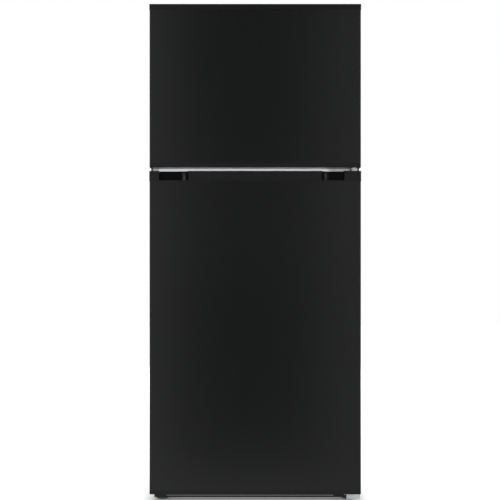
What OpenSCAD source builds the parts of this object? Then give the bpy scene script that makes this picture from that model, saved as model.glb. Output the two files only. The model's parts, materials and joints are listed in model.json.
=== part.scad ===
// Top freezer refrigerator, built from its separate pieces.
// Origin at the floor, at the middle of the footprint. +Z is up, the doors face -Y, the hinges are at +X.

/* [Cabinet] */
// Width of the cabinet and of both doors
cab_w = 700; // [680:5:720]
// Depth of the cabinet's steel body, without the doors
cab_d = 600; // [596:4:640]
// Height of the cabinet's top above the floor
cab_h = 1652; // [1640:2:1680]
// Height of the cabinet's underside above the floor
base_z = 32; // [31:1:34]
// Thickness of the sheet steel and of the plastic liners
skin = 1.2; // [1:0.1:1.5]
// Radius of the cabinet's long top edges
cab_round = 8; // [5:1:12]

/* [Insulation] */
// Insulation beside the fridge compartment
fridge_wall = 50; // [46:1:56]
// Insulation beside the freezer compartment
freezer_wall = 60; // [58:1:70]
// Thickness of the partition between the compartments
partition_t = 60; // [58:1:66]
// Insulation behind both compartments
rear_wall = 58; // [52:1:64]

/* [Doors] */
// Thickness of each door's body
door_t = 62; // [58:1:66]
// Gap between a closed door and the cabinet, which the gasket fills
seal_gap = 11; // [10:0.5:12]
// Height of the fridge door's lower edge above the floor
door_z = 34; // [33:0.5:35]
// Height of the fridge door
fridge_door_h = 1070; // [1060:2:1076]
// Gap between the two doors
door_gap = 12; // [12:0.5:13]
// Height of the freezer door
freezer_door_h = 540; // [536:1:544]
// Radius of the doors' front vertical edges
door_round = 5; // [3:0.5:7]
// How far the outer end caps stand proud of the painted skin
cap_proud = 1; // [0.5:0.1:1.5]

/* [Grips] */
// Height of the fridge door's top cap, which holds the grips
grip_cap_h = 34; // [32:1:40]
// Depth of a pocket grip from the door's front
grip_d = 32; // [28:1:34]
// Height of a pocket grip's front opening
grip_h = 31; // [27:1:31]
// Distance from the door's free side to the free side's grip
grip_inset_free = 32; // [28:1:40]
// Distance from the door's hinge side to the hinge side's grip
grip_inset_hinge = 55; // [50:1:60]

/* [Hinges] */
// Distance of the hinge axis from the cabinet's side
pin_inset = 20; // [19:0.5:21]
// Distance of the hinge axis behind the doors' front
pin_back = 25; // [24:0.5:26]
// Diameter of the hinge pins
pin_d = 8; // [7:0.5:9]

/* [Interior] */
// Depth of a door bin
bin_d = 98; // [80:1:100]
// Thickness of the clear bin and drawer walls
bin_t = 2.5; // [2:0.1:3]
// Height of a crisper drawer
crisper_h = 190; // [170:2:196]
// Depth of a crisper drawer
crisper_d = 262; // [220:2:262]
// Height of the step over the compressor bay
step_z = 300; // [298:1:310]

/* [Running gear] */
// Diameter of a levelling leg's foot
foot_d = 38; // [34:1:42]
// Diameter of a rear roller
roller_d = 40; // [38:0.5:41]

/* [Hidden] */
$fn = 48;

// Small overlap that lets one cut run clean through a face
eps = 0.5;
// Running clearance between parts that move past each other
gap = 0.4;
// Radial clearance of a shaft in its hole
fit = 0.05;

// Space behind the cabinet for the condenser coil and the wall bumpers
coil_gap = 18;

// Planes across the depth, front to back
front_y = -(cap_proud + door_t + seal_gap + cab_d + coil_gap) / 2;
door_y = front_y + cap_proud;
door_back_y = door_y + door_t;
cab_y = door_back_y + seal_gap;
back_y = cab_y + cab_d;
rear_y = back_y + coil_gap;

// Heights
half = cab_w / 2;
fridge_door_top = door_z + fridge_door_h;
freezer_door_z = fridge_door_top + door_gap;
freezer_door_top = freezer_door_z + freezer_door_h;
mid_z = fridge_door_top + door_gap / 2;

// Compartments: [half width, floor, ceiling, back plane]
floor_t = 54;
ceiling_t = 50;
freezer_space = [half - freezer_wall, mid_z + partition_t / 2, cab_h - ceiling_t, back_y - 66];
fridge_space = [half - fridge_wall, base_z + floor_t, mid_z - partition_t / 2, back_y - rear_wall];
space_round = 18;
lip_edge = half - 41;
lip_h = 9;

// Rail between the compartments, and the duct behind it that leads cold air down to the fridge
rail_half = half - 25;
rail_z = [fridge_space[2] + lip_h, freezer_space[1] - lip_h];
rail_d = 16;
passage_half = 42;
passage_y = [freezer_space[3] - 22, freezer_space[3] - 4];

// Compressor bay at the lower rear
bay_top = 250;
bay_side = 14;
bay_y = back_y - 200;
step_y = bay_y - 50;

// Hinge axis, seen from above
pin_x = half - pin_inset;
pin_y = door_y + pin_back;
pin_r = pin_d / 2;
hinge_plate = 3;
arm_r = 12;
washer_r = 9;
tongue_dir = 130;
recess_d = 6;
recess_r = 62;
recess_front = 14;

// Door liner: raised wall around the inside of each door
skin_return = 16;
dyke_h = 20;
dyke_w = 26;
dyke_gap = 6;
dyke_top = door_back_y + dyke_h;
gasket_side = 22;
gasket_mid = 6;
gasket_w = 18;
gasket_squash = 0.5;
freezer_dyke = [freezer_space[0] - dyke_gap, freezer_space[1] + dyke_gap, freezer_space[2] - dyke_gap];
fridge_dyke = [fridge_space[0] - dyke_gap, fridge_space[1] + dyke_gap, fridge_door_top - grip_cap_h - 2];

// Door bins: lower edge of each, and the lugs they hang on
freezer_bins_z = [1200, 1400];
fridge_bins_z = [372, 632, 880];
bin_h = 96;
freezer_bin_h = 90;
bin_y = door_back_y + 1.5;
bin_gap = 3;
bin_round = 10;
lug_r = 4;
lug_l = 7;
lug_z = 42;
lug_y = door_back_y + 10;
ear = [8, 17, 60];

// Pocket grips: where both end, seen from the nearer side, and the cup below each
grip_end = 98;
grip_lip = 6;
cup_h = 16;
cup_t = 2;

// Cap heights at the doors' other ends
top_cap_h = 18;
bottom_cap_h = 14;
pin_depth = 12;

// Pan-head screws: shank, clearance hole, and where they sit
screw_r = 2.4;
screw_hole = 2.6;
top_screws = [[half - 90, cab_y + 62], [half - 20, cab_y + 62], [half - 20, cab_y + 22]];
middle_screws = [half - 88, half - 51];
bottom_screws = [half - 38, half - 11];
bottom_screw_z = door_z + 11;
cover_screws = [-half + 24, -110, 110, half - 24];
cover_screw_z = bay_top - 14;

// Levelling legs and rear rollers
leg_x = half - 35;
leg_y = cab_y + 38;
foot_h = 9;
leg_r = 5;
leg_boss = [12, 14];
stem_rise = 6;
roller_x = half - 50;
roller_y = back_y - 42;
roller_w = 22;
roller_side = roller_w / 2 + 1.5;
axle_r = 4;
cheek_t = 2.5;

// Shelves and drawers
rib_w = 10;
rib_h = 8;
rib_front = cab_y + 60;
glass_t = 4;
rest = 0.2;
shelf_front = cab_y + 132;
shelf_back = fridge_space[3] - 36;
shelf_z = [568, 816];
freezer_shelf_z = 1366;
cover_z = step_z + 4;
crisper_z = fridge_space[1] + 2;
crisper_y = cab_y + 82;
crisper_post = 5;
crisper_round = 16;
crisper_reach = fridge_space[0] - 4;
ice = [180, 260, 110];

// Evaporator and its fan
cover_y = freezer_space[3] - 66;
cover_t = 3;
fan_z = 1474;
fan_hole_r = 55;
fan_y = cover_y + 18;
motor_y = fan_y + 12;
shaft_r = 2;
evap = [230, 1166, 1330];
evap_y = cover_y + 32;

// Control box under the fridge ceiling
box_half = 150;
box_y = [cab_y + 38, cab_y + 214];
box_h = 46;
plunger_x = -126;
plunger_z = fridge_space[2] - 20;
plunger_r = 5;
dial_x = 70;
dial_r = 4;
lens = [[-112, box_y[0] + 48], [12, box_y[1] - 28]];
dial_z = fridge_space[2] - 23;

// Compressor, its mounting and its tray
comp = [140, back_y - 98, 78];
comp_foot = [64, 46];
comp_foot_z = base_z + 15;
stud_r = 3;
stud_rise = 12;
grommet_r = 11;
tray_x = [-282, -12];
tray_z = [46, 84];
drain_x = -60;
drain_rear = back_y - 28;
drain_r = 7;
drain_t = 1.5;
drain_end = 96;

// Condenser on the back
coil_r = 2.5;
coil_y = back_y + 8;
coil_half = 270;
coil_z = 330;
coil_pitch = 62;
coil_rows = 18;
coil_top = coil_z + (coil_rows - 1) * coil_pitch;
pipe_z = 226;
suction_r = 4;
liquid_r = 2;

// Routes of the pipes, corner by corner
pipe_end = 150;
joint_y = drain_rear + 12;
suction_z = evap[1] + 49.2;
liquid_z = evap[1] + 82;
header_y = evap_y + 22;
suction_x = comp[0] - 60;
discharge_x = comp[0] + 50;
discharge_z = pipe_z - 16;
coil_in_x = coil_half - 20;
coil_out_x = coil_half + 20;
drain_path = [[drain_x, fridge_space[3] - 28, freezer_space[1] - 0.1], [drain_x, fridge_space[3] - 28, mid_z],
    [drain_x, drain_rear, mid_z], [drain_x, drain_rear, drain_end]];
suction_path = [[40, header_y, suction_z], [40, drain_rear, suction_z], [40, drain_rear, pipe_z],
    [suction_x, drain_rear, pipe_z], [suction_x, comp[1], pipe_z], [suction_x, comp[1], pipe_end]];
liquid_path = [[coil_out_x, joint_y, pipe_z], [coil_out_x, drain_rear, pipe_z], [180, drain_rear, pipe_z],
    [180, drain_rear, bay_top + 30], [60, drain_rear, bay_top + 30], [60, drain_rear, liquid_z],
    [60, header_y, liquid_z]];
discharge_path = [[coil_in_x, drain_rear, discharge_z], [coil_in_x, comp[1], discharge_z],
    [discharge_x, comp[1], discharge_z], [discharge_x, comp[1], pipe_end]];
drier = [[75, drain_rear, bay_top - 60], [75, drain_rear, bay_top - 140]];
drier_r = 9;

// Rubber bush in the bay cover, where a mains lead goes in
inlet = [0, 120];
inlet_r = 9;
inlet_bore = 4.2;

// Louvres of the compressor bay cover
louvre = [54, 5];
louvre_pitch = [68, 13];
louvre_at = [110, 62];

// ---------- shared shapes ----------

module block(lo, hi) {
    translate(lo) cube(hi - lo);
}

module rod(a, b, r) {
    d = b - a;
    translate(a) rotate([0, acos(d[2] / norm(d)), atan2(d[1], d[0])]) cylinder(h = norm(d), r = r);
}

// A round tube bent through a list of corners
module pipe(points, r) {
    for (i = [0:len(points) - 2]) rod(points[i], points[i + 1], r);
    for (i = [1:1:len(points) - 2]) translate(points[i]) sphere(r);
}

module rounded_rect(w, h, r) {
    square([w - 2 * r, h], center = true);
    square([w, h - 2 * r], center = true);
    for (x = [-1, 1], y = [-1, 1]) translate([x * (w / 2 - r), y * (h / 2 - r)]) circle(r);
}

// A block whose four edges along Y are rounded
module tub(half_w, z0, z1, y0, y1, r) {
    translate([0, y1, (z0 + z1) / 2]) rotate([90, 0, 0])
        linear_extrude(y1 - y0) rounded_rect(2 * half_w, z1 - z0, r);
}

// Ring around the edge of an opening, seen from the front
module ring(half_w, z0, z1, w, y0, y1, r) {
    difference() {
        tub(half_w, z0, z1, y0, y1, r);
        tub(half_w - w, z0 + w, z1 - w, y0 - eps, y1 + eps, max(r - w, 2));
    }
}

// Cabinet section seen from the front, t inside the outer surface
module arch(t) {
    w = cab_w - 2 * t;
    top = cab_h - t;
    r = cab_round - t;
    translate([-w / 2, base_z]) square([w, top - base_z - r]);
    translate([-w / 2 + r, base_z]) square([w - 2 * r, top - base_z]);
    for (x = [-1, 1]) translate([x * (w / 2 - r), top - r]) circle(r);
}

module arch_solid(t, y0, y1) {
    translate([0, y1, 0]) rotate([90, 0, 0]) linear_extrude(y1 - y0) arch(t);
}

// Inside space of a compartment, t outside its walls
module freezer_form(t, y0) {
    tub(freezer_space[0] + t, freezer_space[1] - t, freezer_space[2] + t, y0,
        freezer_space[3] + t, space_round + t);
}

module fridge_form(t, y0) {
    difference() {
        tub(fridge_space[0] + t, fridge_space[1] - t, fridge_space[2] + t, y0,
            fridge_space[3] + t, space_round + t);
        block([-half, step_y + t, 0], [half, back_y, step_z - t]);
    }
}

module bay_space() {
    block([-half + bay_side, bay_y, 0], [half - bay_side, back_y + eps, bay_top]);
}

// Duct that leads cold air from the freezer down to the fridge
module air_passage() {
    block([-passage_half, passage_y[0], fridge_space[2] - 10],
        [passage_half, passage_y[1], freezer_space[1] + 10]);
}

// ---------- cabinet ----------

module outer_shell() {
    color("#1b1c1e") {
        difference() {
            arch_solid(0, cab_y, back_y);
            arch_solid(skin, cab_y - eps, back_y + eps);
            block([-half + skin, cab_y - eps, base_z - eps], [half - skin, back_y + eps, base_z + 5]);
        }
        difference() {
            arch_solid(skin / 2, cab_y, cab_y + skin);
            block([-lip_edge, cab_y - eps, fridge_space[1] - lip_h],
                [lip_edge, cab_y + skin + eps, freezer_space[2] + lip_h]);
            block([-rail_half, cab_y - eps, rail_z[0]], [rail_half, cab_y + skin + eps, rail_z[1]]);
        }
    }
}

module rear_panel() {
    color("#b9bcbf") intersection() {
        arch_solid(skin, back_y - skin, back_y);
        block([-half, back_y - 2 * skin, bay_top + 2], [half, back_y + skin, cab_h]);
    }
}

module base_pan() {
    color("#9a9da1") {
        difference() {
            block([-half + skin, cab_y + skin, base_z], [half - skin, back_y - skin, base_z + skin]);
            for (x = [-1, 1])
                block([x * roller_x - roller_side, roller_y - roller_d / 2 - 2, 0],
                    [x * roller_x + roller_side, roller_y + roller_d / 2 + 2, base_z + 5]);
            leg_bores(2 * fit);
        }
        difference() {
            for (x = [-1, 1]) translate([x * leg_x, leg_y, base_z - leg_boss[1]])
                cylinder(h = leg_boss[1], r = leg_boss[0]);
            leg_bores(2 * fit);
        }
        for (x = [-1, 1]) translate([x * roller_x, roller_y, 0]) roller_bracket();
        for (x = [-1, 1], y = [-1, 1])
            translate([comp[0] + x * comp_foot[0], comp[1] + y * comp_foot[1], base_z])
                cylinder(h = comp_foot_z + stud_rise - base_z, r = stud_r);
    }
}

// Holes that the two leg stems go up through
module leg_bores(clearance) {
    for (x = [-1, 1]) translate([x * leg_x, leg_y, 0])
        cylinder(h = base_z + stem_rise + 6, r = leg_r + clearance);
}

// Two cheeks and the axle between them
module roller_bracket() {
    cheek = [11, 8];
    for (x = [-roller_side - cheek_t, roller_side])
        block([x, -cheek[0], roller_d / 2 - cheek[1]], [x + cheek_t, cheek[0], base_z + skin]);
    rod([-roller_side - cheek_t, 0, roller_d / 2], [roller_side + cheek_t, 0, roller_d / 2], axle_r);
}

module cabinet_foam() {
    color("#e9dfae") difference() {
        intersection() {
            arch_solid(skin, cab_y + skin, back_y - skin);
            block([-half, cab_y, base_z + skin], [half, back_y, cab_h]);
        }
        freezer_form(skin, cab_y);
        fridge_form(skin, cab_y);
        bay_space();
        block([-rail_half, cab_y, rail_z[0]], [rail_half, cab_y + rail_d, rail_z[1]]);
        air_passage();
        pipe(drain_path, drain_r + fit);
        pipe(suction_path, suction_r + fit);
        pipe(liquid_path, liquid_r + fit);
        leg_bores(2);
    }
}

module lip(space) {
    difference() {
        block([-lip_edge, cab_y, space[1] - lip_h], [lip_edge, cab_y + skin, space[2] + lip_h]);
        tub(space[0], space[1], space[2], cab_y - eps, cab_y + 5, space_round);
    }
}

module side_ribs(half_w, z, y0, y1) {
    for (x = [-1, 1])
        block([min(x * half_w, x * (half_w - rib_w)), y0, z - rib_h],
            [max(x * half_w, x * (half_w - rib_w)), y1, z]);
}

module freezer_liner() {
    color("#f2f3f2") {
        difference() {
            union() {
                difference() {
                    freezer_form(skin, cab_y);
                    freezer_form(0, cab_y - eps);
                }
                lip(freezer_space);
            }
            air_passage();
            pipe(drain_path, drain_r + fit);
            pipe(suction_path, suction_r + fit);
            pipe(liquid_path, liquid_r + fit);
        }
        side_ribs(freezer_space[0], freezer_shelf_z, rib_front, cover_y - 2);
    }
}

module fridge_liner() {
    color("#f2f3f2") {
        difference() {
            union() {
                difference() {
                    fridge_form(skin, cab_y);
                    fridge_form(0, cab_y - eps);
                }
                lip(fridge_space);
            }
            air_passage();
        }
        for (z = shelf_z) side_ribs(fridge_space[0], z, rib_front, shelf_back);
        side_ribs(fridge_space[0], cover_z, rib_front, step_y);
    }
}

module centre_rail() {
    color("#d4d6d8") difference() {
        block([-rail_half, cab_y, rail_z[0]], [rail_half, cab_y + rail_d, rail_z[1]]);
        block([-rail_half - eps, cab_y + skin, rail_z[0] + skin],
            [rail_half + eps, cab_y + rail_d + eps, rail_z[1] - skin]);
    }
}

module kick_plate() {
    wall = 2;
    slot_end = 36;
    slot_h = 1.5;
    lo = [-half + 10, cab_y + 8, 8.5];
    hi = [half - 50, cab_y + 18, base_z];
    color("#26282a") difference() {
        block(lo, hi);
        block(lo + [wall, wall, -eps], hi + [-wall, eps, -wall]);
        for (z = [14:5:24])
            block([lo[0] + slot_end, lo[1] - eps, z], [hi[0] - slot_end, lo[1] + wall + eps, z + slot_h]);
    }
}

// ---------- hinges ----------

module top_hinge() {
    plate = [[half - 105, cab_y + 7], [half - 5, cab_y + 77]];
    arm_l = 84;
    drop = recess_d + 8;
    color("#c3c6c9") difference() {
        union() {
            block([plate[0][0], plate[0][1], cab_h], [plate[1][0], plate[1][1], cab_h + hinge_plate]);
            translate([pin_x, pin_y, cab_h]) {
                cylinder(h = hinge_plate, r = arm_r);
                rotate([0, 0, tongue_dir]) translate([0, -arm_r, 0]) cube([arm_l, 2 * arm_r, hinge_plate]);
            }
            translate([pin_x, pin_y, cab_h - drop]) cylinder(h = drop + hinge_plate, r = pin_r);
        }
        for (p = top_screws) translate([p[0], p[1], cab_h - eps])
            cylinder(h = hinge_plate + 1, r = screw_hole);
    }
}

// Stepped lid over the top hinge, open below and towards the hinge arm
module top_hinge_cover() {
    lo = [half - 118, cab_y + 3, cab_h];
    hi = [half - 1, cab_y + 92, cab_h + 17];
    wall = 2;
    step = 4;
    color("#1f2022") difference() {
        union() {
            block(lo, hi - [0, 0, step]);
            block(lo + [step, step, 0], hi - [step, step, 0]);
        }
        block(lo + [wall, wall, -eps], hi - [wall, wall, step + wall]);
        block([half - 105, lo[1] - eps, cab_h - eps], [half - 22, lo[1] + wall + 1, cab_h + hinge_plate + 1]);
    }
}

// Spacer and pin that a door turns on, from the bracket's face up
module hinge_pin(z0, washer_z, washer_h, h) {
    translate([pin_x, pin_y, washer_z]) cylinder(h = washer_h, r = washer_r);
    translate([pin_x, pin_y, z0]) cylinder(h = h, r = pin_r);
}

module middle_hinge() {
    arm_z = mid_z - hinge_plate / 2;
    plate_h = 16;
    arm_x = half - 45;
    edge_x = half - 8;
    color("#a7abaf") difference() {
        union() {
            block([half - 102, cab_y - 2, mid_z - plate_h / 2], [edge_x, cab_y, mid_z + plate_h / 2]);
            block([arm_x, cab_y - 14, arm_z], [edge_x, cab_y - 1, arm_z + hinge_plate]);
            block([pin_x - arm_r, pin_y, arm_z], [pin_x + arm_r, cab_y - 1, arm_z + hinge_plate]);
            translate([pin_x, pin_y, arm_z]) cylinder(h = hinge_plate, r = arm_r);
            hinge_pin(fridge_door_top - pin_depth + 1, fridge_door_top + gap, door_gap - 2 * gap,
                door_gap + 2 * (pin_depth - 1));
        }
        for (x = middle_screws) rod([x, cab_y - 3, mid_z], [x, cab_y + 1, mid_z], screw_hole);
    }
}

module bottom_hinge() {
    z = door_z - 4.5;
    x = [half - 47, half - 2];
    front = pin_y - 12;
    lip_drop = 13;
    back_rise = 25;
    color("#ced1d3") difference() {
        union() {
            block([x[0], front, z], [x[1], cab_y, z + hinge_plate]);
            block([x[0], front, z - lip_drop], [x[1], front + 2, z + hinge_plate]);
            block([x[0], cab_y - 3, z], [x[1], cab_y, z + back_rise]);
            hinge_pin(z, z, door_z - gap - z, door_z - z + pin_depth - 1);
        }
        for (x = bottom_screws)
            rod([x, cab_y - 4, bottom_screw_z], [x, cab_y + 1, bottom_screw_z], screw_hole);
    }
}

// Pan-head screw with its head's underside at the origin, pointing down
module screw(shank) {
    cylinder(h = 2.6, r1 = 4.6, r2 = 3.4);
    translate([0, 0, -shank]) cylinder(h = shank, r = screw_r);
}

module stud_nut() {
    difference() {
        cylinder(h = 5, r = 6.5, $fn = 6);
        translate([0, 0, -1]) cylinder(h = 8, r = stud_r + fit);
    }
}

module fasteners() {
    color("#8b8e92") {
        for (p = top_screws) translate([p[0], p[1], cab_h + hinge_plate]) screw(hinge_plate);
        for (x = middle_screws) translate([x, cab_y - 2, mid_z]) rotate([90, 0, 0]) screw(2);
        for (x = bottom_screws) translate([x, cab_y - 3, bottom_screw_z]) rotate([90, 0, 0]) screw(3);
        for (x = cover_screws) translate([x, back_y, cover_screw_z]) rotate([-90, 0, 0]) screw(skin);
        for (x = [-1, 1], y = [-1, 1])
            translate([comp[0] + x * comp_foot[0], comp[1] + y * comp_foot[1], comp_foot_z + 5]) stud_nut();
    }
}

// ---------- cooling circuit ----------

// Domed shell with its weld flange, mounting plate and terminal box
module compressor_body() {
    r = comp[2];
    shell_h = 132;
    dome = 30;
    flange = [2.5, 6];
    plate = [comp_foot[0] + 14, comp_foot[1] + 14];
    plate_z = [-3, 2];
    box_w = 24;
    translate([comp[0], comp[1], comp_foot_z - plate_z[0]]) {
        rotate_extrude($fn = 96) {
            square([r - dome, shell_h]);
            translate([0, dome]) square([r, shell_h - 2 * dome]);
            for (z = [dome, shell_h - dome]) translate([r - dome, z]) circle(dome);
            translate([0, (shell_h - flange[1]) / 2]) square([r + flange[0], flange[1]]);
        }
        difference() {
            block([-plate[0], -plate[1], plate_z[0]], [plate[0], plate[1], plate_z[1]]);
            for (x = [-1, 1], y = [-1, 1]) translate([x * comp_foot[0], y * comp_foot[1], plate_z[0] - 1])
                cylinder(h = 10, r = stud_r + 0.6);
        }
        block([-r - 26, -box_w, 40], [-r + 8, box_w, 96]);
    }
}

module compressor() {
    color("#17181a") difference() {
        compressor_body();
        pipe([suction_path[4], suction_path[5]], suction_r);
        pipe([discharge_path[2], discharge_path[3]], coil_r);
    }
}

module compressor_grommets() {
    color("#222426")
        for (x = [-1, 1], y = [-1, 1])
            translate([comp[0] + x * comp_foot[0], comp[1] + y * comp_foot[1], base_z + skin])
                difference() {
                    cylinder(h = comp_foot_z - base_z - skin, r = grommet_r);
                    translate([0, 0, -1]) cylinder(h = comp_foot_z, r = stud_r + fit);
                }
}

// Serpentine tube: straight runs joined by half turns at alternate ends
module condenser_coil() {
    bend_r = coil_pitch / 2;
    straight = coil_half - bend_r;
    color("#202224") {
        for (i = [0:coil_rows - 1]) translate([0, coil_y, coil_z + i * coil_pitch])
            rod([-straight, 0, 0], [straight, 0, 0], coil_r);
        for (i = [0:coil_rows - 2])
            translate([(i % 2 == 0 ? -1 : 1) * straight, coil_y, coil_z + (i + 0.5) * coil_pitch])
                rotate([90, i % 2 == 0 ? -90 : 90, 0])
                    rotate_extrude(angle = 180) translate([bend_r, 0]) circle(coil_r);
        pipe([[straight, coil_y, coil_z], [coil_in_x, coil_y, coil_z],
            [coil_in_x, coil_y, discharge_z], [coil_in_x, drain_rear, discharge_z]], coil_r);
        pipe([[straight, coil_y, coil_top], [coil_out_x, coil_y, coil_top],
            [coil_out_x, coil_y, pipe_z], [coil_out_x, joint_y, pipe_z]], coil_r);
    }
}

// Two strips that carry the coil, each with two bumpers that keep it off the wall
module condenser_spacers() {
    strip = 6;
    bumper = 9;
    color("#2a2c2e")
        for (x = [-200, 200]) {
            block([x - strip, back_y, coil_z - 14], [x + strip, coil_y - coil_r - 0.1, coil_top + 14]);
            for (z = [coil_z + coil_pitch / 2, coil_top - coil_pitch / 2])
                block([x - bumper, back_y + 1, z - bumper], [x + bumper, rear_y, z + bumper]);
        }
}

module refrigerant_pipes() {
    color("#b8703f") {
        pipe(suction_path, suction_r);
        pipe(liquid_path, liquid_r);
        pipe(discharge_path, coil_r);
        rod(drier[0], drier[1], drier_r);
    }
}

// Open tray for the defrost water, on two ribs
module drip_tray() {
    lo = [tray_x[0], bay_y + 24, tray_z[0]];
    hi = [tray_x[1], back_y - 16, tray_z[1]];
    wall = 2;
    rib = 4;
    color("#303235") {
        difference() {
            block(lo, hi);
            block(lo + [wall, wall, wall], hi + [-wall, -wall, eps]);
        }
        for (x = [lo[0] + 20, hi[0] - 20 - rib])
            block([x, lo[1] + 10, base_z + skin], [x + rib, hi[1] - 60, lo[2] + 1]);
    }
}

module drain_tube() {
    color("#d9dadb") difference() {
        pipe(drain_path, drain_r);
        pipe([drain_path[0] + [0, 0, 2], drain_path[1], drain_path[2], drain_path[3] - [0, 0, 2]],
            drain_r - drain_t);
    }
}

module bay_cover() {
    lo = [-half + skin + gap, back_y - skin, base_z + skin + gap];
    hi = [half - skin - gap, back_y, bay_top - gap];
    color("#6f7276") difference() {
        block(lo, hi);
        for (side = [-1, 1], i = [0:2], j = [0:8])
            translate([side * (louvre_at[0] + i * louvre_pitch[0]) - louvre[0] / 2, lo[1] - eps,
                louvre_at[1] + j * louvre_pitch[1]]) cube([louvre[0], 5, louvre[1]]);
        for (p = [[coil_in_x, discharge_z], [coil_out_x, pipe_z]])
            rod([p[0], lo[1] - 1, p[1]], [p[0], hi[1] + 1, p[1]], coil_r + 2);
        for (x = cover_screws) rod([x, lo[1] - 1, cover_screw_z], [x, hi[1] + 1, cover_screw_z], screw_hole);
        rod([inlet[0], lo[1] - 1, inlet[1]], [inlet[0], hi[1] + 1, inlet[1]], inlet_r);
    }
}

// Flanged rubber bush that a mains lead passes through
module power_inlet() {
    color("#141516") difference() {
        union() {
            rod([inlet[0], back_y, inlet[1]], [inlet[0], back_y + 5, inlet[1]], inlet_r + 4);
            rod([inlet[0], back_y - 5, inlet[1]], [inlet[0], back_y + 5, inlet[1]], inlet_r);
        }
        rod([inlet[0], back_y - 8, inlet[1]], [inlet[0], back_y + 8, inlet[1]], inlet_bore);
    }
}

// Finned coil: two columns of tubes, with the stubs that the copper pipes join
module evaporator() {
    rows = 5;
    fins = 24;
    margin = 16;
    fin_half = 0.5;
    column = 12;
    pitch = (evap[2] - evap[1]) / rows;
    fin_pitch = 2 * (evap[0] - margin) / (fins - 1);
    color("#c9ccce") {
        for (i = [0:rows - 1], y = [-column, column])
            translate([0, evap_y + y, evap[1] + (i + 0.5) * pitch]) rod([-evap[0], 0, 0], [evap[0], 0, 0], 4);
        rod([40, evap_y + column, suction_z], [40, header_y, suction_z], 3);
        rod([60, evap_y + column, liquid_z], [60, header_y, liquid_z], 1.8);
        for (i = [0:fins - 1]) {
            x = -evap[0] + margin + i * fin_pitch;
            block([x - fin_half, evap_y - 22, evap[1] + 1], [x + fin_half, header_y, evap[2] - 1]);
        }
    }
}

// Openings of the fan grille: a round hole crossed by three bars and one ring
module grille_openings() {
    bar = 3;
    ring_r = 32;
    hub_r = 12;
    difference() {
        circle(fan_hole_r);
        for (a = [0, 60, 120]) rotate(a) square([2 * fan_hole_r + 10, bar], center = true);
        difference() {
            circle(ring_r);
            circle(ring_r - bar);
        }
        circle(hub_r);
    }
}

module evaporator_cover() {
    z0 = freezer_space[1] + 1;
    z1 = freezer_space[2] - 1;
    mid = (z0 + z1) / 2;
    vent = [22, 8];
    vent_pitch = 32;
    color("#eceeee") translate([0, cover_y + cover_t, mid]) rotate([90, 0, 0])
        linear_extrude(cover_t) difference() {
            rounded_rect(2 * (freezer_space[0] - 1), z1 - z0, space_round - 1);
            translate([0, fan_z - mid]) grille_openings();
            for (i = [-7:7]) translate([i * vent_pitch, z0 + 10 - mid]) square(vent, center = true);
        }
}

// Hairpin heating rod under the evaporator
module defrost_heater() {
    z = evap[1] - 14;
    x = [-evap[0] + 20, evap[0] - 14];
    leg_gap = 9;
    color("#a9adb0")
        pipe([[x[0], evap_y - leg_gap, z], [x[1], evap_y - leg_gap, z], [x[1], evap_y + leg_gap, z],
            [x[0], evap_y + leg_gap, z]], 4);
}

// Motor can on a cross bar, with its shaft
module fan_motor() {
    back = freezer_space[3];
    bar = [70, 8, 9];
    color("#3a3d40") {
        rod([0, motor_y, fan_z], [0, back - bar[1] + 2, fan_z], 24);
        rod([0, fan_y - 6, fan_z], [0, motor_y + 1, fan_z], shaft_r);
        block([-bar[0], back - bar[1], fan_z - bar[2]], [bar[0], back, fan_z + bar[2]]);
    }
}

module fan_blade() {
    blades = 5;
    pitch_angle = 28;
    blade = [30, 1.6, 36];
    color("#e6e7e8") translate([0, fan_y, fan_z]) difference() {
        union() {
            rod([0, -9, 0], [0, 7, 0], 13);
            for (i = [0:blades - 1]) rotate([0, i * 360 / blades, 0])
                translate([0, 0, 10 + blade[2] / 2]) rotate([0, 0, pitch_angle]) cube(blade, center = true);
        }
        rod([0, -20, 0], [0, 20, 0], shaft_r + fit);
    }
}

// Duct down the back of the fridge, with pairs of air slots
module air_duct() {
    lo = [-88, fridge_space[3] - 30, 620];
    hi = [88, fridge_space[3], fridge_space[2]];
    wall = 3;
    slot = [26, 10];
    color("#eceeee") difference() {
        block(lo, hi);
        block(lo + [wall, wall, wall], hi + [-wall, 1, 1]);
        for (z = [lo[2] + 40:110:1000], x = [-hi[0] / 2, hi[0] / 2])
            block([x - slot[0], lo[1] - 1, z], [x + slot[0], lo[1] + wall + 1, z + slot[1]]);
    }
}

// ---------- inside fittings ----------

// Box under the fridge ceiling, with holes for the switch plunger, the dial and the lamp
module control_box() {
    lo = [-box_half, box_y[0], fridge_space[2] - box_h];
    hi = [box_half, box_y[1], fridge_space[2]];
    wall = 3;
    hole_gap = 0.3;
    color("#e4e6e7") difference() {
        block(lo, hi);
        block(lo + [wall, wall, wall], hi + [-wall, -wall, 1]);
        rod([plunger_x, lo[1] - 5, plunger_z], [plunger_x, lo[1] + 30, plunger_z], plunger_r + hole_gap);
        rod([dial_x, lo[1] - 5, dial_z], [dial_x, lo[1] + 30, dial_z], dial_r + hole_gap);
        block([lens[0][0] + 2, lens[0][1] + 2, lo[2] - 1],
            [lens[1][0] - 2, lens[1][1] - 2, lo[2] + wall + 1]);
    }
}

module lamp_lens() {
    z = fridge_space[2] - box_h;
    wall = 3;
    lens_h = 9;
    color("#f4f6f2") difference() {
        block([lens[0][0], lens[0][1], z - lens_h], [lens[1][0], lens[1][1], z]);
        block([lens[0][0] + wall, lens[0][1] + wall, z - lens_h + wall],
            [lens[1][0] - wall, lens[1][1] - wall, z + 1]);
    }
}

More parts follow.
